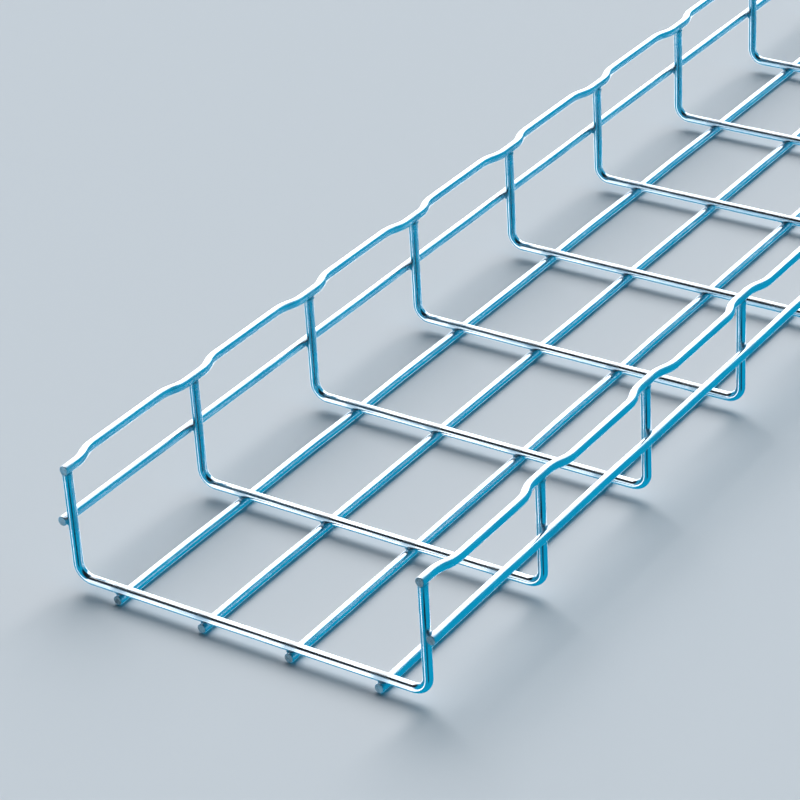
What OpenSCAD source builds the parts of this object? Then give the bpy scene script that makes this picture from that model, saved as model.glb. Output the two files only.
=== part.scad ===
// Straight length of welded wire cable basket: U-shaped cross wires carry straight floor and side
// wires on their outside, and a wavy edge wire lies on the cut ends of the legs of each wall.
// X runs along the tray, Y across it and Z up. The origin is on the floor, at the tray's middle.

/* [Tray] */
// Width between the axes of the two walls
tray_w = 200; // [100:50:600]
// Clear height from the cross wires' floor run to the top of the edge wires
tray_h = 60; // [50:5:110]
// Distance from each cross wire to the next
bay_l = 100; // [75:5:150]
// Number of bays
bays = 30; // [2:1:40]

/* [Wire] */
// Diameter of every wire
wire_d = 5; // [4:0.5:6]
// Depth that two crossing wires are pressed into each other by a weld
weld_set = 0.5; // [0.3:0.05:0.6]
// Radius of the cross wires' two bends, on the wire's axis
bend_r = 8; // [6:1:14]

/* [Long wires] */
// Distance between floor wires
floor_pitch = 50; // [40:5:100]
// How far the floor wires stick out past the axis of the end cross wires
floor_overhang = 3.5; // [2.5:0.5:20]
// Height of the side wires' axis above that of the floor run
side_wire_h = 31; // [20:1:40]
// How far the side wires stick out past the axis of the end cross wires
side_overhang = 3; // [2.5:0.5:20]
// How far the edge wires stick out past the axis of the end cross wires
edge_overhang = 2.5; // [2.5:0.5:6]

/* [Edge wave] */
// How far the edge wires swing out sideways between two legs
wave_out = 3.5; // [1:0.5:6]
// Length of each S-bend, from the seat on a leg to the straight stretch
wave_run = 18; // [14:1:24]
// Length of the straight seat on each leg
seat_l = 12; // [8:1:20]

/* [Hidden] */
$fn = 32;

cross_wires = bays + 1;
span_l = bays * bay_l;
floor_wires = floor(tray_w / floor_pitch);

floor_wire_z = wire_d / 2;
cross_z = floor_wire_z + wire_d - weld_set;
side_wire_z = cross_z + side_wire_h;
edge_wire_z = cross_z + tray_h;
leg_top = tray_h - wire_d / 2 + weld_set;
side_wire_y = tray_w / 2 + wire_d - weld_set;

// Each S-bend is two arcs of one radius, which turn by s_angle and back again
s_angle = 2 * atan(wave_out / wave_run);
s_radius = wave_run / 2 / sin(s_angle);
s_steps = 4;
edge_sides = 10;
edge_end_x = span_l / 2 + edge_overhang;

function two_digits(i) = str(i < 10 ? "0" : "", i);
function cross_name(i) = str("cross_wire_", two_digits(i));
function floor_name(i) = str("floor_wire_", i);
function cross_x(i) = (i - 1) * bay_l - span_l / 2;
function floor_y(i) = ((floor_wires + 1) / 2 - i) * floor_pitch;

// A straight stretch of wire along +X, from its start point
module straight(l) {
    rotate([0, 90, 0]) cylinder(d = wire_d, h = l);
}

// A bent stretch of wire in the XY plane about the origin, from +X towards +Y
module bend(r, a) {
    rotate_extrude(angle = a) translate([r, 0]) circle(d = wire_d);
}

// A straight wire along the whole tray, with its ends past the end cross wires
module long_wire(overhang) {
    translate([-span_l / 2 - overhang, 0, 0]) straight(span_l + 2 * overhang);
}

// A cross wire: floor run, two bends and two legs, drawn flat and then stood up across the tray
module cross_wire(i) {
    run_l = tray_w - 2 * bend_r;
    color("gainsboro") translate([cross_x(i), 0, cross_z]) rotate([90, 0, 90]) {
        translate([-run_l / 2, 0, 0]) straight(run_l);
        for (side = [0, 1]) mirror([side, 0, 0]) {
            translate([run_l / 2, bend_r, 0]) rotate(-90) bend(bend_r, 90);
            translate([tray_w / 2, bend_r, 0]) rotate(90) straight(leg_top - bend_r);
        }
    }
}

module floor_wire(i) {
    color("silver") translate([0, floor_y(i), floor_wire_z]) long_wire(floor_overhang);
}

// A side wire on the outside of a wall, which is 1 for the left wall and -1 for the right
module side_wire(wall) {
    color("silver") translate([0, wall * side_wire_y, side_wire_z]) long_wire(side_overhang);
}

// Points [x, y, heading] along one S-bend, from a seat's end at x = 0 out to y = wave_out
function s_bend() = [
    for (step = [0 : s_steps]) let (
        turn = 2 * s_angle / s_steps * min(step, s_steps - step),
        arc = s_radius * [sin(turn), 1 - cos(turn)]
    ) step <= s_steps / 2 ? [arc.x, arc.y, turn] : [wave_run - arc.x, wave_out - arc.y, turn]
];

// The axis of an edge wire: out after each leg and back in before the next
function edge_path() = [
    [-edge_end_x, 0, 0],
    for (i = [1 : bays]) each [
        for (p = s_bend()) [cross_x(i) + seat_l / 2 + p.x, p.y, p.z],
        for (k = [s_steps : -1 : 0]) let (p = s_bend()[k])
            [cross_x(i + 1) - seat_l / 2 - p.x, p.y, -p.z]
    ],
    [edge_end_x, 0, 0]
];

// A ring of points round the wire's axis, square to its heading, with flats above and below
function ring(p) = let (r = wire_d / 2 / cos(180 / edge_sides)) [
    for (k = [0 : edge_sides - 1]) let (a = 360 * k / edge_sides)
        [p.x - r * cos(a) * sin(p.z), p.y + r * cos(a) * cos(p.z), r * sin(a)]
];

// The two triangles between corner k of ring i and its neighbours
function skin(i, k) = let (
    a = i * edge_sides + k,
    b = i * edge_sides + (k + 1) % edge_sides
) [[a, a + edge_sides, b], [b, a + edge_sides, b + edge_sides]];

// An edge wire of the left wall, which waves towards +Y
module edge_wire() {
    path = edge_path();
    last = len(path) - 1;
    polyhedron(
        points = [for (p = path) each ring(p)],
        faces = [
            [for (k = [0 : edge_sides - 1]) k],
            for (i = [0 : last - 1]) for (k = [0 : edge_sides - 1]) each skin(i, k),
            [for (k = [edge_sides - 1 : -1 : 0]) last * edge_sides + k]
        ]
    );
}

module edge_wire_left() {
    color("silver") translate([0, tray_w / 2, edge_wire_z]) edge_wire();
}

module edge_wire_right() {
    color("silver") translate([0, -tray_w / 2, edge_wire_z]) mirror([0, 1, 0]) edge_wire();
}

for (i = [1 : cross_wires]) cross_wire(i);
for (i = [1 : floor_wires]) floor_wire(i);
side_wire(1);  // side_wire_left
side_wire(-1);  // side_wire_right
edge_wire_left();
edge_wire_right();
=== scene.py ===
import math
import random

import bmesh
import bpy
from mathutils import Matrix, Vector


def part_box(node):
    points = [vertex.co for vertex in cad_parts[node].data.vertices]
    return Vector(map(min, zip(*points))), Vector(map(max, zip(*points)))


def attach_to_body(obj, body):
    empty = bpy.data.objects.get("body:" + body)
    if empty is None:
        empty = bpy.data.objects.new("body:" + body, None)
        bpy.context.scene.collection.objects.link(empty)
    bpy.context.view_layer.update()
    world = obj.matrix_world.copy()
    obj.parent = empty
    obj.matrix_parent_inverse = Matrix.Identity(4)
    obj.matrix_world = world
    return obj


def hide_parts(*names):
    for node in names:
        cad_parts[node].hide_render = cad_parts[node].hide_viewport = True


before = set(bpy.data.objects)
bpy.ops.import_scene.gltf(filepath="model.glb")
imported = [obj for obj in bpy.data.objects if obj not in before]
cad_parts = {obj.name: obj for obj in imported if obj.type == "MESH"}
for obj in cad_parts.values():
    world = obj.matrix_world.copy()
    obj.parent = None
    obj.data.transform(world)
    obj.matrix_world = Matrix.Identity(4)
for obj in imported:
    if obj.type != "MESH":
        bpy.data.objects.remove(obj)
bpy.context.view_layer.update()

bl_info = {
    "name": "Welded wire cable basket",
    "version": (1, 0, 0),
    "blender": (4, 5, 0),
    "location": "3D View > Sidebar > Wire basket",
    "description": "Bent, drawn and wavy zinc wires, their welds, and a studio for them",
    "category": "Add Mesh",
}

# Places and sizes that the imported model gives, in metres
CROSS_NODES = sorted(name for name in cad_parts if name.startswith("cross_wire_"))
FLOOR_NODES = sorted(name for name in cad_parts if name.startswith("floor_wire_"))
WALLS = {"left": 1, "right": -1}


def middle(node):
    """The middle of a node's box."""
    low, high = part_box(node)
    return (Vector(low) + Vector(high)) / 2


FLOOR_LOW, FLOOR_HIGH = (Vector(corner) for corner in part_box(FLOOR_NODES[0]))
CROSS_LOW, CROSS_HIGH = (Vector(corner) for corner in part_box(CROSS_NODES[0]))
EDGE_LOW, EDGE_HIGH = (Vector(corner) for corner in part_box("edge_wire_left"))
WIRE_R = (FLOOR_HIGH.z - FLOOR_LOW.z) / 2
CROSS_Z = CROSS_LOW.z + WIRE_R
LEG_TOP = CROSS_HIGH.z
WALL_Y = CROSS_HIGH.y - WIRE_R
SIDE_Z = middle("side_wire_left").z
EDGE_Z = (EDGE_LOW.z + EDGE_HIGH.z) / 2
WAVE_OUT = EDGE_HIGH.y - EDGE_LOW.y - 2 * WIRE_R
CROSS_X = [middle(name).x for name in CROSS_NODES]
FLOOR_Y = [middle(name).y for name in FLOOR_NODES]

# Starts of the random draws
BOW_SEED = 5
BEAD_SEED = 11

# Range of sizes of the weld beads, and how much thicker they are round the tops of the legs
BEAD_SWELL = (0.92, 1.08)
COLLAR_THICKENING = 1.3

# Rings of faces along the wires
CROSS_BEND_STEPS = 10
CROSS_RUN_STEPS = 6
WAVE_BEND_STEPS = 5
BAY_STEPS = 8

# How far the dull ring round a weld is full, and where it ends, in wire radii
HAZE_FULL = 0.9
HAZE_END = 2.2

# Noise per metre along and round a wire
STREAK_SCALE = (30.0, 3200.0, 1.0)
SWELL_SCALE = (45.0, 260.0, 1.0)

# Noise per metre in the plating's clouds
WIRE_CLOUDS = 45.0
WELD_CLOUDS = 700.0
CUT_CLOUDS = 650.0
CUT_COVER = 60.0

# How much a weld's ring dulls the colour and adds to the roughness
HAZE_DULLS = 0.3
HAZE_ROUGHENS = 0.1

# Roughness from a range of noise, and the strength and depth in metres of the fine relief
STREAK_ROUGHNESS = (-0.04, 0.09)
STREAK_RELIEF = (0.3, 0.00006)
WELD_ROUGHNESS = (0.32, 0.5)
WELD_RELIEF = (0.4, 0.0001)
CUT_ROUGHNESS = (0.40, 0.62)
CUT_RELIEF = (0.5, 0.0001)

# Shares of the small spots and of the wide cover in the zinc on a cut end
CUT_SPOTS_SHARE = 0.5
CUT_COVER_SHARE = 0.7

# Patches of the air: azimuth and elevation of the middle, then inner and outer angle, in degrees
BEHIND_CAMERA = (-141, -28, 6, 20)
BLUE_PANEL = (-40, 28, 30, 44)
FRONT_AREA = (148, -18, 31, 41)
HIGH_AREA = (86, 60, 10, 16)
FAR_REFLECTOR = (38, -13, 24, 36)
# The front reflector's band across Y: its middle, and its inner and outer distance from it
FRONT_BAND = (0.50, 0.045, 0.09)
# Heights, as the sine of the elevation, at which the backdrop starts to fade and is all shade
BACKDROP_TOP = 0.20
SHADE_FROM = 0.42

# Where the lights come from, as azimuth and elevation, and how wide the key light is, in degrees
KEY_FROM = (28, 44)
KEY_WIDTH = 50
HIGH_CARD_FROM = (28, 42)
LOW_CARD_FROM = (26, 27)
# The cards' distances and sizes, and the point that they face, in metres
HIGH_CARD_DISTANCE = 6.5
HIGH_CARD_SIZE = (8.6, 8.0)
LOW_CARD_DISTANCE = 6.6
LOW_CARD_SIZE = (6.4, 5.6)
CARDS_AIM = Vector((CROSS_X[0] + 0.3, 0.0, 0.03))

# Half the width of the floor, in metres
FLOOR_REACH = 60.0

# The camera's place in metres, and its azimuth, elevation and roll in degrees
CAMERA_PLACE = (-2.3972, -0.7206, 0.77475)
CAMERA_ANGLES = (-145.06, 29.48, -3.465)


# ---------------------------------------------------------------- sizes and colours


class BasketWireSizes(bpy.types.PropertyGroup):
    """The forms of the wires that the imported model's boxes don't give."""

    bend_radius: bpy.props.FloatProperty(
        name="Bend radius",
        description="Radius of the two bends of a cross wire, on the wire's axis",
        default=0.008, min=0.005, max=0.02, unit="LENGTH",
    )
    wave_run: bpy.props.FloatProperty(
        name="Wave run",
        description="Length of each S-bend of an edge wire along the tray",
        default=0.018, min=0.012, max=0.03, unit="LENGTH",
    )
    seat_length: bpy.props.FloatProperty(
        name="Seat length",
        description="Length of an edge wire's straight seat on each leg",
        default=0.012, min=0.006, max=0.03, unit="LENGTH",
    )
    sides: bpy.props.IntProperty(
        name="Sides",
        description="Number of flats round a wire",
        default=24, min=12, max=48,
    )
    cut_rounding: bpy.props.FloatProperty(
        name="Cut rounding",
        description="Rounding of the rim of a cut end",
        default=0.0004, min=0.0001, max=0.001, unit="LENGTH",
    )
    bow: bpy.props.FloatProperty(
        name="Bow",
        description="Most that a long wire bows sideways between two welds",
        default=0.00025, min=0.0, max=0.001, unit="LENGTH",
    )


class BasketWeldSizes(bpy.types.PropertyGroup):
    """The beads of metal that the welding presses out where two wires cross."""

    spread: bpy.props.FloatProperty(
        name="Spread",
        description="Radius of a bead in the plane between the two wires",
        default=0.0026, min=0.001, max=0.004, unit="LENGTH",
    )
    thickness: bpy.props.FloatProperty(
        name="Thickness",
        description="Half the thickness of a bead, across that plane",
        default=0.0009, min=0.0003, max=0.002, unit="LENGTH",
    )
    collar: bpy.props.FloatProperty(
        name="Collar",
        description="Radius of the bead round the top of a leg, under the edge wire",
        default=0.0029, min=0.0015, max=0.004, unit="LENGTH",
    )
    unevenness: bpy.props.FloatProperty(
        name="Unevenness",
        description="Most that a point of a bead is moved in or out, as a share of its radius",
        default=0.12, min=0.0, max=0.4, subtype="FACTOR",
    )


class BasketZincFinish(bpy.types.PropertyGroup):
    """Bright zinc plating on drawn steel wire."""

    bright: bpy.props.FloatVectorProperty(
        name="Bright zinc",
        description="Colour of the cleanest plating",
        default=(0.78, 0.83, 0.87), min=0.0, max=1.0, size=3, subtype="COLOR",
    )
    cloudy: bpy.props.FloatVectorProperty(
        name="Cloudy zinc",
        description="Colour where the plating has a blue cast",
        default=(0.64, 0.72, 0.79), min=0.0, max=1.0, size=3, subtype="COLOR",
    )
    dull_zinc: bpy.props.FloatVectorProperty(
        name="Dull zinc",
        description="Colour of the plating round the welds",
        default=(0.44, 0.48, 0.52), min=0.0, max=1.0, size=3, subtype="COLOR",
    )
    smeared: bpy.props.FloatVectorProperty(
        name="Smeared zinc",
        description="Colour where the shear drew zinc over a cut end",
        default=(0.60, 0.66, 0.70), min=0.0, max=1.0, size=3, subtype="COLOR",
    )
    steel: bpy.props.FloatVectorProperty(
        name="Cut steel",
        description="Colour of the sheared faces at the wires' ends",
        default=(0.035, 0.04, 0.045), min=0.0, max=1.0, size=3, subtype="COLOR",
    )
    smooth: bpy.props.FloatProperty(
        name="Smoothest",
        description="Roughness of the plating where it is brightest",
        default=0.12, min=0.02, max=1.0, subtype="FACTOR",
    )
    rough: bpy.props.FloatProperty(
        name="Roughest",
        description="Roughness of the plating where it is dullest",
        default=0.24, min=0.02, max=1.0, subtype="FACTOR",
    )


class BasketStudio(bpy.types.PropertyGroup):
    """The floor, the lights, and the air round them that the wires mirror."""

    floor: bpy.props.FloatVectorProperty(
        name="Floor",
        description="Colour of the floor",
        default=(0.62, 0.63, 0.65), min=0.0, max=1.0, size=3, subtype="COLOR",
    )
    backdrop: bpy.props.FloatVectorProperty(
        name="Blue backdrop",
        description="Colour of the cloth round and under the stage, which only the wires mirror",
        default=(0.005, 0.36, 0.60), min=0.0, max=1.0, size=3, subtype="COLOR",
    )
    shade: bpy.props.FloatVectorProperty(
        name="Shade",
        description="Colour of the unlit parts of the studio",
        default=(0.012, 0.014, 0.018), min=0.0, max=1.0, size=3, subtype="COLOR",
    )
    reflector: bpy.props.FloatProperty(
        name="Reflectors",
        description="Brightness of the two white reflectors in the air",
        default=2.3, min=0.0, max=50.0,
    )
    key: bpy.props.FloatProperty(
        name="Key light",
        description="Strength of the soft light that falls on the floor",
        default=3.6, min=0.0, max=50.0,
    )
    cards: bpy.props.FloatProperty(
        name="White cards",
        description="Brightness of the two bright cards that only the wires mirror",
        default=1.45, min=0.0, max=50.0,
    )
    lens: bpy.props.FloatProperty(
        name="Lens",
        description="Focal length of the camera, in millimetres",
        default=133.36, min=20.0, max=300.0,
    )


def settings():
    return bpy.context.scene.wire_basket


# ---------------------------------------------------------------- wires


class Wire:
    """A round wire grown ring by ring along its axis, in the XY plane, from a start point along +X."""

    def __init__(self, start):
        self.bm = bmesh.new()
        self.run = self.bm.verts.layers.float.new("run")
        self.turn = self.bm.verts.layers.float.new("turn")
        self.sides = settings().wires.sides
        self.heading = 0.0
        self.at = Vector(start)
        self.length = 0.0
        facing = Matrix.Translation(self.at) @ Matrix.Rotation(math.pi / 2, 4, "Y")
        first = bmesh.ops.create_circle(
            self.bm, cap_ends=False, segments=self.sides, radius=WIRE_R, matrix=facing)
        for index, vert in enumerate(first["verts"]):
            vert[self.turn] = index / self.sides
        # A dictionary drops the doubles and keeps the order, so that each run gives the same faces
        self.first = list(dict.fromkeys(
            edge for vert in first["verts"] for edge in vert.link_edges))
        self.ring = self.first

    def grow(self, length):
        """Extrudes the last ring and returns the new ring's points, which are still in the old place."""
        made = bmesh.ops.extrude_edge_only(self.bm, edges=self.ring)["geom"]
        self.ring = [item for item in made if isinstance(item, bmesh.types.BMEdge)]
        verts = [item for item in made if isinstance(item, bmesh.types.BMVert)]
        self.length += length
        for vert in verts:
            vert[self.run] = self.length
        return verts

    def straight(self, length, steps=1, bow=(0.0, 0.0)):
        """A straight stretch. bow is how far its middle stands off sideways and upwards."""
        along = Vector((math.cos(self.heading), math.sin(self.heading), 0.0))
        across = Vector((-along.y, along.x, 0.0))
        off = Vector((0.0, 0.0, 0.0))
        for step in range(1, steps + 1):
            swing = (1 - math.cos(2 * math.pi * step / steps)) / 2
            new_off = across * bow[0] * swing + Vector((0.0, 0.0, bow[1] * swing))
            move = along * (length / steps) + new_off - off
            bmesh.ops.translate(self.bm, verts=self.grow(length / steps), vec=move)
            off = new_off
        self.at += along * length

    def bend(self, radius, angle, steps):
        """A bend about a point beside the axis, to the left for a positive angle."""
        side = math.copysign(1.0, angle)
        across = Vector((-math.sin(self.heading), math.cos(self.heading), 0.0))
        centre = self.at + across * radius * side
        turned = Matrix.Rotation(angle / steps, 3, "Z")
        for _ in range(steps):
            verts = self.grow(radius * abs(angle) / steps)
            bmesh.ops.rotate(self.bm, verts=verts, cent=centre, matrix=turned)
        self.heading += angle
        self.at = centre + Matrix.Rotation(angle, 3, "Z") @ (self.at - centre)

    def finish(self, name, place, zinc, cut):
        """Closes both ends, rounds their rims, maps the wire and makes it an object."""
        bm = self.bm
        for rim in (self.first, self.ring):
            for face in bmesh.ops.edgeloop_fill(bm, edges=rim, mat_nr=1)["faces"]:
                face.smooth = False
        for face in bm.faces:
            if face.material_index == 0:
                face.smooth = True
        rims = self.first + self.ring
        bmesh.ops.bevel(
            bm, geom=rims, offset=settings().wires.cut_rounding, offset_type="OFFSET",
            segments=3, profile=0.5, affect="EDGES", material=-1, clamp_overlap=True)
        bmesh.ops.transform(bm, matrix=place, verts=bm.verts)
        bmesh.ops.recalc_face_normals(bm, faces=bm.faces)
        self.map_faces()
        return make_piece(bm, name, [zinc, cut])

    def map_faces(self):
        """A map with the distance along the wire and the distance round it, both in metres."""
        uv = self.bm.loops.layers.uv.new("Wire")
        round_length = 2 * math.pi * WIRE_R
        for face in self.bm.faces:
            turns = [loop.vert[self.turn] for loop in face.loops]
            wraps = max(turns) - min(turns) > 0.5
            for loop, turn in zip(face.loops, turns):
                over = 1.0 if wraps and turn < 0.5 else 0.0
                loop[uv].uv = (loop.vert[self.run], (turn + over) * round_length)


def make_piece(bm, name, materials):
    mesh = bpy.data.meshes.new(name)
    bm.to_mesh(mesh)
    bm.free()
    for material in materials:
        mesh.materials.append(material)
    piece = bpy.data.objects.new(name, mesh)
    bpy.context.scene.collection.objects.link(piece)
    return piece


def attach(piece, slot, *nodes):
    """The piece rides on the basket's one body and stands for the nodes."""
    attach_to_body(piece, "root")
    if nodes:
        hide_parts(*nodes)


def bay_bow(dice, inward=0.0):
    """How far a long wire bows in one bay, as (sideways, upwards)."""
    most = settings().wires.bow
    sideways = dice.uniform(-most, most)
    if inward:
        sideways = -inward * abs(sideways)
    return sideways, dice.uniform(0.0, most)


def long_wire(name, node, slot, dice, inward=0.0):
    """A straight drawn wire along the whole tray, in place of a node."""
    low, high = (Vector(corner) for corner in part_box(node))
    axis = middle(node)
    wire = Wire((low.x, axis.y, axis.z))
    wire.straight(CROSS_X[0] - low.x)
    for start, end in zip(CROSS_X, CROSS_X[1:]):
        wire.straight(end - start, BAY_STEPS, bay_bow(dice, inward))
    wire.straight(high.x - CROSS_X[-1])
    piece = wire.finish(name, Matrix.Identity(4), zinc_along(), cut_end())
    attach(piece, slot, node)


class BASKET_OT_cross_wires(bpy.types.Operator):
    """Bend the U-shaped cross wires"""

    bl_idname = "wire_basket.cross_wires"
    bl_label = "Cross wires"

    def execute(self, context):
        radius = settings().wires.bend_radius
        leg = LEG_TOP - CROSS_Z - radius
        run = 2 * (WALL_Y - radius)
        wire = Wire((0.0, 0.0, 0.0))
        wire.straight(leg, 2)
        wire.bend(radius, math.pi / 2, CROSS_BEND_STEPS)
        wire.straight(run, CROSS_RUN_STEPS)
        wire.bend(radius, math.pi / 2, CROSS_BEND_STEPS)
        wire.straight(leg, 2)
        # It starts along +X at the top of a leg, so it is turned down and then stood up across
        # the tray, and every other cross wire is a copy of it
        down = Matrix.Rotation(-math.pi / 2, 4, "Z")
        top = Matrix.Translation((-WALL_Y, LEG_TOP, 0.0))
        stand_up = Matrix(((0, 0, 1, 0), (1, 0, 0, 0), (0, 1, 0, 0), (0, 0, 0, 1)))
        bent = wire.finish("bent_cross_wire", stand_up @ top @ down, zinc_across(), cut_end())
        for node, x in zip(CROSS_NODES, CROSS_X):
            mesh = bent.data.copy()
            mesh.transform(Matrix.Translation((x, 0.0, 0.0)))
            for corner in mesh.uv_layers["Wire"].uv:
                corner.vector.x += x
            piece = bpy.data.objects.new("bent_" + node, mesh)
            context.scene.collection.objects.link(piece)
            attach(piece, "cross_wire", node)
        bpy.data.objects.remove(bent)
        return {"FINISHED"}


class BASKET_OT_long_wires(bpy.types.Operator):
    """Draw the straight wires under the floor and outside the walls"""

    bl_idname = "wire_basket.long_wires"
    bl_label = "Floor and side wires"

    def execute(self, context):
        dice = random.Random(BOW_SEED)
        for node in FLOOR_NODES:
            long_wire("drawn_" + node, node, "long_wire", dice)
        for side, sign in WALLS.items():
            node = "side_wire_" + side
            long_wire("drawn_" + node, node, "long_wire", dice, inward=sign)
        return {"FINISHED"}


class BASKET_OT_edge_wires(bpy.types.Operator):
    """Roll the wavy edge wires that lie on the legs"""

    bl_idname = "wire_basket.edge_wires"
    bl_label = "Edge wires"

    def execute(self, context):
        sizes = settings().wires
        angle = 2 * math.atan(WAVE_OUT / sizes.wave_run)
        radius = sizes.wave_run / 2 / math.sin(angle)
        seat = sizes.seat_length
        for side, sign in WALLS.items():
            node = "edge_wire_" + side
            low, high = (Vector(corner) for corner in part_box(node))
            wire = Wire((low.x, sign * WALL_Y, EDGE_Z))
            wire.straight(CROSS_X[0] + seat / 2 - low.x, 2)
            for start, end in zip(CROSS_X, CROSS_X[1:]):
                middle_run = end - start - seat - 2 * sizes.wave_run
                wire.bend(radius, sign * angle, WAVE_BEND_STEPS)
                wire.bend(radius, -sign * angle, WAVE_BEND_STEPS)
                wire.straight(middle_run, 2)
                wire.bend(radius, -sign * angle, WAVE_BEND_STEPS)
                wire.bend(radius, sign * angle, WAVE_BEND_STEPS)
                if end != CROSS_X[-1]:
                    wire.straight(seat, 2)
            wire.straight(high.x - CROSS_X[-1] + seat / 2, 2)
            piece = wire.finish("wavy_" + node, Matrix.Identity(4), zinc_along(), cut_end())
            attach(piece, "edge_wire", node)
        return {"FINISHED"}


# ---------------------------------------------------------------- welds


def beads(name, places, radii):
    """One mesh of uneven beads, each centred on a place, with radii along X, Y and Z."""
    dice = random.Random(BEAD_SEED)
    uneven = settings().welds.unevenness
    bm = bmesh.new()
    for place in places:
        swell = dice.uniform(*BEAD_SWELL)
        scale = Matrix.Diagonal((radii[0] * swell, radii[1] * swell, radii[2] * swell, 1.0))
        bead = bmesh.ops.create_icosphere(
            bm, subdivisions=2, radius=1.0, matrix=Matrix.Translation(place) @ scale)
        for vert in bead["verts"]:
            vert.co += (vert.co - place) * dice.uniform(-uneven, uneven)
    bmesh.ops.recalc_face_normals(bm, faces=bm.faces)
    for face in bm.faces:
        face.smooth = True
    piece = make_piece(bm, name, [zinc_weld()])
    attach(piece, "cross_wire")


class BASKET_OT_welds(bpy.types.Operator):
    """Press out the weld beads where wires cross"""

    bl_idname = "wire_basket.welds"
    bl_label = "Welds"

    def execute(self, context):
        sizes = settings().welds
        spread, thickness, collar = sizes.spread, sizes.thickness, sizes.collar
        floor_z = (FLOOR_HIGH.z + CROSS_LOW.z) / 2
        floor_places = [Vector((x, y, floor_z)) for x in CROSS_X for y in FLOOR_Y]
        beads("floor_welds", floor_places, (spread, spread, thickness))
        side_places = []
        edge_places = []
        for side, sign in WALLS.items():
            axis = middle("side_wire_" + side)
            inner_face = abs(axis.y) - WIRE_R
            side_y = sign * (inner_face + WALL_Y + WIRE_R) / 2
            side_places += [Vector((x, side_y, axis.z)) for x in CROSS_X]
            edge_z = (LEG_TOP + EDGE_Z - WIRE_R) / 2
            edge_places += [Vector((x, sign * WALL_Y, edge_z)) for x in CROSS_X]
        beads("side_welds", side_places, (spread, thickness, spread))
        beads("edge_welds", edge_places, (collar, collar, thickness * COLLAR_THICKENING))
        return {"FINISHED"}


# ---------------------------------------------------------------- finishes


def new_group(name, inputs, outputs):
    """An empty node group with float or vector inputs and outputs, and its two end nodes."""
    group = bpy.data.node_groups.new(name, "ShaderNodeTree")
    for label, kind in inputs:
        group.interface.new_socket(label, in_out="INPUT", socket_type=kind)
    for label, kind in outputs:
        group.interface.new_socket(label, in_out="OUTPUT", socket_type=kind)
    return group, group.nodes.new("NodeGroupInput"), group.nodes.new("NodeGroupOutput")


def noise(tree, vector, detail):
    """Noise of one cell a unit of the vector that it is given."""
    node = tree.nodes.new("ShaderNodeTexNoise")
    node.inputs["Scale"].default_value = 1.0
    node.inputs["Detail"].default_value = detail
    tree.links.new(vector, node.inputs["Vector"])
    return node.outputs["Fac"]


def spread_range(tree, value, low, high, to_low, to_high):
    """Maps a value from low..high to to_low..to_high, held inside them."""
    node = tree.nodes.new("ShaderNodeMapRange")
    for label, number in (
        ("From Min", low), ("From Max", high), ("To Min", to_low), ("To Max", to_high),
    ):
        node.inputs[label].default_value = number
    tree.links.new(value, node.inputs["Value"])
    return node.outputs["Result"]


def maths(tree, operation, *values):
    """A Math node's result, from numbers and other nodes' values."""
    node = tree.nodes.new("ShaderNodeMath")
    node.operation = operation
    for socket, value in zip(node.inputs, values):
        if isinstance(value, bpy.types.NodeSocket):
            tree.links.new(value, socket)
        else:
            socket.default_value = value
    return node.outputs["Value"]


def drawn_streaks():
    """Fine lines along the wire from the drawing die, and slow swells between them."""
    name = "Drawn streaks"
    if name in bpy.data.node_groups:
        return bpy.data.node_groups[name]
    group, _, leave = new_group(
        name, [], [("Streaks", "NodeSocketFloat"), ("Swells", "NodeSocketFloat")])
    wire_map = group.nodes.new("ShaderNodeUVMap")
    wire_map.uv_map = "Wire"
    stretch = group.nodes.new("ShaderNodeMapping")
    stretch.inputs["Scale"].default_value = STREAK_SCALE
    group.links.new(wire_map.outputs["UV"], stretch.inputs["Vector"])
    streaks = noise(group, stretch.outputs["Vector"], 2.0)
    slow = group.nodes.new("ShaderNodeMapping")
    slow.inputs["Scale"].default_value = SWELL_SCALE
    group.links.new(wire_map.outputs["UV"], slow.inputs["Vector"])
    swells = noise(group, slow.outputs["Vector"], 3.0)
    group.links.new(streaks, leave.inputs["Streaks"])
    group.links.new(swells, leave.inputs["Swells"])
    return group


def zinc_clouds():
    """Soft patches of the plating, by place on the basket."""
    name = "Zinc clouds"
    if name in bpy.data.node_groups:
        return bpy.data.node_groups[name]
    group, entry, leave = new_group(
        name, [("Scale", "NodeSocketFloat")], [("Clouds", "NodeSocketFloat")])
    place = group.nodes.new("ShaderNodeTexCoord")
    clouds = group.nodes.new("ShaderNodeTexNoise")
    clouds.inputs["Detail"].default_value = 4.0
    group.links.new(place.outputs["Object"], clouds.inputs["Vector"])
    group.links.new(entry.outputs["Scale"], clouds.inputs["Scale"])
    even = spread_range(group, clouds.outputs["Fac"], 0.32, 0.68, 0.0, 1.0)
    group.links.new(even, leave.inputs["Clouds"])
    return group


def weld_haze():
    """A dull ring round each of a row of welds, from a place along the row."""
    name = "Weld haze"
    if name in bpy.data.node_groups:
        return bpy.data.node_groups[name]
    inputs = [("Place", "NodeSocketFloat"), ("First", "NodeSocketFloat"),
              ("Pitch", "NodeSocketFloat")]
    group, entry, leave = new_group(name, inputs, [("Haze", "NodeSocketFloat")])
    along = maths(group, "SUBTRACT", entry.outputs["Place"], entry.outputs["First"])
    half = maths(group, "MULTIPLY", entry.outputs["Pitch"], 0.5)
    other_half = maths(group, "MULTIPLY", entry.outputs["Pitch"], -0.5)
    nearest = maths(group, "ABSOLUTE", maths(group, "WRAP", along, half, other_half))
    ring = spread_range(group, nearest, WIRE_R * HAZE_FULL, WIRE_R * HAZE_END, 1.0, 0.0)
    group.links.new(ring, leave.inputs["Haze"])
    return group


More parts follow.
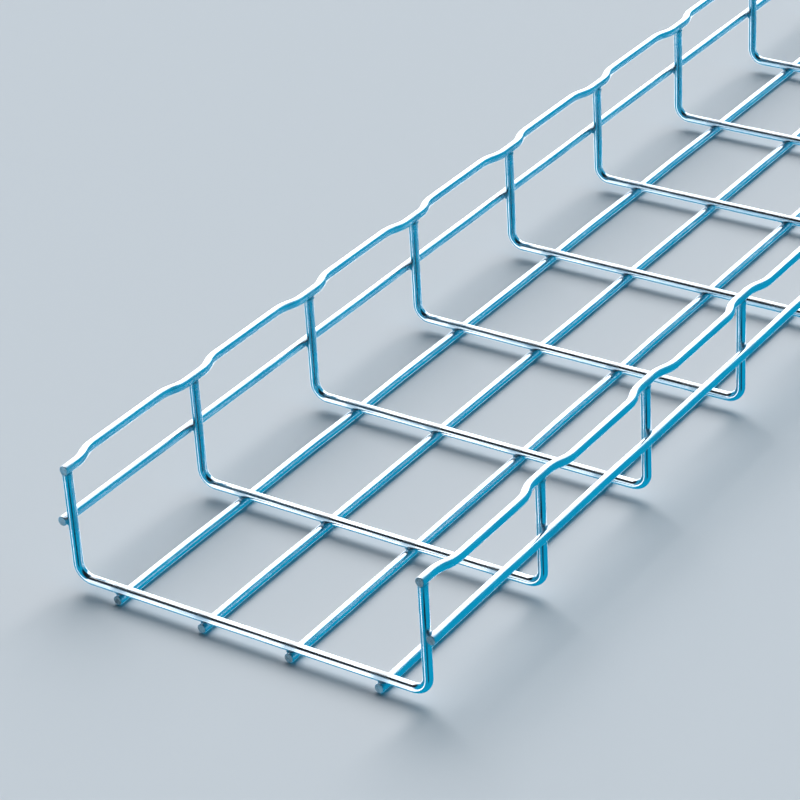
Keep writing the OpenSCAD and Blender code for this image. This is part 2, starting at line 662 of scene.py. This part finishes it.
def new_material(name):
    """A node material, with its tree and its metal shader."""
    material = bpy.data.materials.new(name)
    material.use_nodes = True
    tree = material.node_tree
    shader = tree.nodes["Principled BSDF"]
    shader.inputs["Metallic"].default_value = 1.0
    return material, tree, shader


def group_node(tree, group):
    """A node that stands for a group."""
    node = tree.nodes.new("ShaderNodeGroup")
    node.node_tree = group
    return node


def clouds_at(tree, scale):
    """The plating's clouds at one scale."""
    node = group_node(tree, zinc_clouds())
    node.inputs["Scale"].default_value = scale
    return node.outputs["Clouds"]


def two_colours(tree, share, first, second):
    """Mixes two colours by a share that varies over the surface."""
    ramp = tree.nodes.new("ShaderNodeValToRGB")
    ramp.color_ramp.elements[0].color = (*first, 1.0)
    ramp.color_ramp.elements[1].color = (*second, 1.0)
    tree.links.new(share, ramp.inputs["Fac"])
    return ramp.outputs["Color"]


def laid_over(tree, under, share, colour):
    """A colour over what is under it, by a share."""
    node = tree.nodes.new("ShaderNodeMix")
    node.data_type = "RGBA"
    tree.links.new(share, node.inputs[0])
    tree.links.new(under, node.inputs[6])
    node.inputs[7].default_value = (*colour, 1.0)
    return node.outputs[2]


def bump(tree, height, strength, distance):
    node = tree.nodes.new("ShaderNodeBump")
    node.inputs["Strength"].default_value = strength
    node.inputs["Distance"].default_value = distance
    tree.links.new(height, node.inputs["Height"])
    return node.outputs["Normal"]


def haze_by(tree, place, first, pitch):
    """The dull rings of one row of welds."""
    node = group_node(tree, weld_haze())
    node.inputs["First"].default_value = first
    node.inputs["Pitch"].default_value = pitch
    tree.links.new(place, node.inputs["Place"])
    return node.outputs["Haze"]


def object_axes(tree):
    place = tree.nodes.new("ShaderNodeTexCoord")
    axes = tree.nodes.new("ShaderNodeSeparateXYZ")
    tree.links.new(place.outputs["Object"], axes.inputs["Vector"])
    return axes.outputs


def zinc_on_wire(name, find_haze):
    """Bright zinc on drawn wire: nearly a mirror, with fine streaks, a faint blue cast and
    duller rings at the welds, which find_haze puts in place.
    """
    if name in bpy.data.materials:
        return bpy.data.materials[name]
    finish = settings().finish
    material, tree, shader = new_material(name)
    streaks = group_node(tree, drawn_streaks())
    clouds = clouds_at(tree, WIRE_CLOUDS)
    haze = find_haze(tree, object_axes(tree))
    plated = two_colours(tree, clouds, finish.bright, finish.cloudy)
    dull_share = maths(tree, "MULTIPLY", haze, HAZE_DULLS)
    colour = laid_over(tree, plated, dull_share, finish.dull_zinc)
    swells = spread_range(tree, streaks.outputs["Swells"], 0.3, 0.7, finish.smooth, finish.rough)
    lines = spread_range(tree, streaks.outputs["Streaks"], 0.35, 0.65, *STREAK_ROUGHNESS)
    worn = maths(tree, "MULTIPLY_ADD", haze, HAZE_ROUGHENS, maths(tree, "ADD", swells, lines))
    normal = bump(tree, streaks.outputs["Streaks"], *STREAK_RELIEF)
    tree.links.new(colour, shader.inputs["Base Color"])
    tree.links.new(worn, shader.inputs["Roughness"])
    tree.links.new(normal, shader.inputs["Normal"])
    return material


def zinc_along():
    """Zinc on the wires along the tray, with a weld at every cross wire."""
    pitch = CROSS_X[1] - CROSS_X[0]
    return zinc_on_wire("zinc_along", lambda tree, axes: haze_by(
        tree, axes["X"], CROSS_X[0], pitch))


def zinc_across():
    """Zinc on the cross wires, with welds on the floor run, the legs and the legs' tops."""
    def find_haze(tree, axes):
        floor_rings = haze_by(tree, axes["Y"], FLOOR_Y[0], abs(FLOOR_Y[1] - FLOOR_Y[0]))
        on_floor = maths(tree, "LESS_THAN", axes["Z"], CROSS_Z + 1.2 * WIRE_R)
        side_rings = haze_by(tree, axes["Z"], SIDE_Z, 1.0)
        top_rings = haze_by(tree, axes["Z"], LEG_TOP, 1.0)
        legs = maths(tree, "MAXIMUM", side_rings, top_rings)
        return maths(tree, "MAXIMUM", legs, maths(tree, "MULTIPLY", floor_rings, on_floor))

    return zinc_on_wire("zinc_across", find_haze)


def zinc_weld():
    """Zinc over a weld bead: duller and grainier than on the wires."""
    name = "zinc_weld"
    if name in bpy.data.materials:
        return bpy.data.materials[name]
    finish = settings().finish
    material, tree, shader = new_material(name)
    clouds = clouds_at(tree, WELD_CLOUDS)
    colour = two_colours(tree, clouds, finish.cloudy, finish.dull_zinc)
    rough = spread_range(tree, clouds, 0.0, 1.0, *WELD_ROUGHNESS)
    normal = bump(tree, clouds, *WELD_RELIEF)
    tree.links.new(colour, shader.inputs["Base Color"])
    tree.links.new(rough, shader.inputs["Roughness"])
    tree.links.new(normal, shader.inputs["Normal"])
    return material


def cut_end():
    """A sheared wire end: bare steel, partly covered by zinc that the shear drew over it."""
    name = "cut_end"
    if name in bpy.data.materials:
        return bpy.data.materials[name]
    finish = settings().finish
    material, tree, shader = new_material(name)
    clouds = clouds_at(tree, CUT_CLOUDS)
    # Some ends are nearly bare, and others are almost covered
    cover = clouds_at(tree, CUT_COVER)
    spots = maths(tree, "MULTIPLY", clouds, CUT_SPOTS_SHARE)
    share = maths(tree, "MULTIPLY_ADD", cover, CUT_COVER_SHARE, spots)
    colour = two_colours(tree, share, finish.steel, finish.smeared)
    rough = spread_range(tree, clouds, 0.0, 1.0, *CUT_ROUGHNESS)
    normal = bump(tree, clouds, *CUT_RELIEF)
    tree.links.new(colour, shader.inputs["Base Color"])
    tree.links.new(rough, shader.inputs["Roughness"])
    tree.links.new(normal, shader.inputs["Normal"])
    return material


# ---------------------------------------------------------------- stage


def softbox(name, towards, distance, size, brightness):
    """A large soft light that the camera doesn't see, aimed at the start of the tray."""
    place = CARDS_AIM + Vector(towards).normalized() * distance
    light = bpy.data.lights.new(name, "AREA")
    light.shape = "RECTANGLE"
    light.size, light.size_y = size
    light.energy = brightness * math.pi * size[0] * size[1]
    lamp = bpy.data.objects.new(name, light)
    lamp.location = place
    lamp.rotation_euler = (CARDS_AIM - place).to_track_quat("-Z", "Y").to_euler()
    lamp.visible_camera = False
    bpy.context.scene.collection.objects.link(lamp)
    return lamp


def soft_sun(towards, strength, width):
    """Soft even light on the whole floor, from a wide part of the sky."""
    light = bpy.data.lights.new("key_light", "SUN")
    light.energy = strength
    light.angle = width
    lamp = bpy.data.objects.new("key_light", light)
    lamp.rotation_euler = Vector(towards).to_track_quat("Z", "Y").to_euler()
    bpy.context.scene.collection.objects.link(lamp)
    return lamp


def compass(azimuth, elevation):
    """A unit vector, from an azimuth from +X towards +Y and an elevation, in degrees."""
    turn, tilt = math.radians(azimuth), math.radians(elevation)
    return (math.cos(tilt) * math.cos(turn), math.cos(tilt) * math.sin(turn), math.sin(tilt))


def round_patch(tree, direction, azimuth, elevation, inner, outer):
    """1 within the inner angle of a direction and 0 past the outer angle, in degrees."""
    near = tree.nodes.new("ShaderNodeVectorMath")
    near.operation = "DOT_PRODUCT"
    near.inputs[1].default_value = compass(azimuth, elevation)
    tree.links.new(direction, near.inputs[0])
    fade = tree.nodes.new("ShaderNodeMapRange")
    fade.interpolation_type = "SMOOTHSTEP"
    fade.inputs["From Min"].default_value = math.cos(math.radians(outer))
    fade.inputs["From Max"].default_value = math.cos(math.radians(inner))
    tree.links.new(near.outputs["Value"], fade.inputs["Value"])
    return fade.outputs["Result"]


def slab(tree, place, middle_place, inner, outer):
    """1 within the inner distance of a place on one axis and 0 past the outer distance."""
    off = maths(tree, "ABSOLUTE", maths(tree, "SUBTRACT", place, middle_place))
    return spread_range(tree, off, inner, outer, 1.0, 0.0)


def studio_air(scene):
    """The air: a blue backdrop round and under the stage with shade above it and behind the
    camera, a blue panel on the right, and a front and a far reflector.
    """
    look = settings().studio
    world = bpy.data.worlds.new("studio_air")
    world.use_nodes = True
    tree = world.node_tree
    tree.nodes.clear()
    direction = tree.nodes.new("ShaderNodeTexCoord").outputs["Object"]
    axes = tree.nodes.new("ShaderNodeSeparateXYZ")
    tree.links.new(direction, axes.inputs["Vector"])
    height = tree.nodes.new("ShaderNodeValToRGB")
    height.color_ramp.elements[0].position = BACKDROP_TOP
    height.color_ramp.elements[0].color = (*look.backdrop, 1.0)
    height.color_ramp.elements[1].position = SHADE_FROM
    height.color_ramp.elements[1].color = (*look.shade, 1.0)
    tree.links.new(axes.outputs["Z"], height.inputs["Fac"])
    white = (look.reflector,) * 3
    behind_camera = round_patch(tree, direction, *BEHIND_CAMERA)
    blue_panel = round_patch(tree, direction, *BLUE_PANEL)
    front_area = round_patch(tree, direction, *FRONT_AREA)
    high_area = round_patch(tree, direction, *HIGH_AREA)
    both_areas = maths(tree, "MAXIMUM", front_area, high_area)
    front_band = slab(tree, axes.outputs["Y"], *FRONT_BAND)
    front_reflector = maths(tree, "MULTIPLY", both_areas, front_band)
    far_reflector = round_patch(tree, direction, *FAR_REFLECTOR)
    colour = laid_over(tree, height.outputs["Color"], behind_camera, look.shade)
    colour = laid_over(tree, colour, blue_panel, look.backdrop)
    colour = laid_over(tree, colour, front_reflector, white)
    colour = laid_over(tree, colour, far_reflector, white)
    back = tree.nodes.new("ShaderNodeBackground")
    leave = tree.nodes.new("ShaderNodeOutputWorld")
    tree.links.new(colour, back.inputs["Color"])
    tree.links.new(back.outputs["Background"], leave.inputs["Surface"])
    scene.world = world


def studio_floor():
    look = settings().studio
    bm = bmesh.new()
    bmesh.ops.create_grid(bm, x_segments=1, y_segments=1, size=FLOOR_REACH)
    material = bpy.data.materials.new("studio_floor")
    material.use_nodes = True
    shader = material.node_tree.nodes["Principled BSDF"]
    shader.inputs["Base Color"].default_value = (*look.floor, 1.0)
    shader.inputs["Roughness"].default_value = 0.9
    shader.inputs["Specular IOR Level"].default_value = 0.1
    floor = make_piece(bm, "studio_floor", [material])
    # The wires mirror the backdrop under the stage, as they would on a high glass table
    floor.visible_glossy = False


def studio_camera(scene):
    """The camera, by its place, the direction it looks from and its roll."""
    data = bpy.data.cameras.new("camera")
    data.lens = settings().studio.lens
    data.sensor_width = 36.0
    data.clip_end = 200.0
    camera = bpy.data.objects.new("camera", data)
    azimuth, elevation, roll = (math.radians(angle) for angle in CAMERA_ANGLES)
    back = Vector((
        math.cos(elevation) * math.cos(azimuth),
        math.cos(elevation) * math.sin(azimuth),
        math.sin(elevation),
    ))
    level = Vector((0.0, 0.0, 1.0)).cross(back).normalized()
    upright = back.cross(level)
    right = level * math.cos(roll) + upright * math.sin(roll)
    up = upright * math.cos(roll) - level * math.sin(roll)
    turn = Matrix((right, up, back)).transposed().to_4x4()
    camera.matrix_world = Matrix.Translation(CAMERA_PLACE) @ turn
    scene.collection.objects.link(camera)
    scene.camera = camera


class BASKET_OT_stage(bpy.types.Operator):
    """Set up the floor, the lights and the camera"""

    bl_idname = "wire_basket.stage"
    bl_label = "Studio"

    def execute(self, context):
        look = settings().studio
        studio_air(context.scene)
        studio_floor()
        key = soft_sun(compass(*KEY_FROM), look.key, math.radians(KEY_WIDTH))
        high_card = softbox(
            "high_card", compass(*HIGH_CARD_FROM), HIGH_CARD_DISTANCE, HIGH_CARD_SIZE, look.cards)
        low_card = softbox(
            "low_card", compass(*LOW_CARD_FROM), LOW_CARD_DISTANCE, LOW_CARD_SIZE, look.cards)
        # The floor gets the key light alone, and the wires mirror the cards alone
        key.visible_glossy = False
        high_card.visible_diffuse = False
        low_card.visible_diffuse = False
        studio_camera(context.scene)
        context.scene.view_settings.view_transform = "Standard"
        return {"FINISHED"}


# ---------------------------------------------------------------- add-on


class BasketSettings(bpy.types.PropertyGroup):
    """Everything that a user may change."""

    wires: bpy.props.PointerProperty(type=BasketWireSizes, name="Wires")
    welds: bpy.props.PointerProperty(type=BasketWeldSizes, name="Welds")
    finish: bpy.props.PointerProperty(type=BasketZincFinish, name="Finish")
    studio: bpy.props.PointerProperty(type=BasketStudio, name="Studio")


OPERATORS = (
    BASKET_OT_cross_wires, BASKET_OT_long_wires, BASKET_OT_edge_wires,
    BASKET_OT_welds, BASKET_OT_stage,
)


class BASKET_PT_panel(bpy.types.Panel):
    """The basket's operators and settings"""

    bl_label = "Wire basket"
    bl_idname = "BASKET_PT_panel"
    bl_space_type = "VIEW_3D"
    bl_region_type = "UI"
    bl_category = "Wire basket"

    def draw(self, context):
        for operator in OPERATORS:
            self.layout.operator(operator.bl_idname)
        for part in ("wires", "welds", "finish", "studio"):
            group = getattr(context.scene.wire_basket, part)
            box = self.layout.box()
            for label in group.__annotations__:
                box.prop(group, label)


CLASSES = (
    BasketWireSizes, BasketWeldSizes, BasketZincFinish, BasketStudio, BasketSettings,
    *OPERATORS, BASKET_PT_panel,
)


def register():
    for item in CLASSES:
        bpy.utils.register_class(item)
    bpy.types.Scene.wire_basket = bpy.props.PointerProperty(type=BasketSettings)


def unregister():
    del bpy.types.Scene.wire_basket
    for item in reversed(CLASSES):
        bpy.utils.unregister_class(item)


def main():
    register()
    bpy.ops.wire_basket.cross_wires()
    bpy.ops.wire_basket.long_wires()
    bpy.ops.wire_basket.edge_wires()
    bpy.ops.wire_basket.welds()
    bpy.ops.wire_basket.stage()


if __name__ == "__main__":
    main()
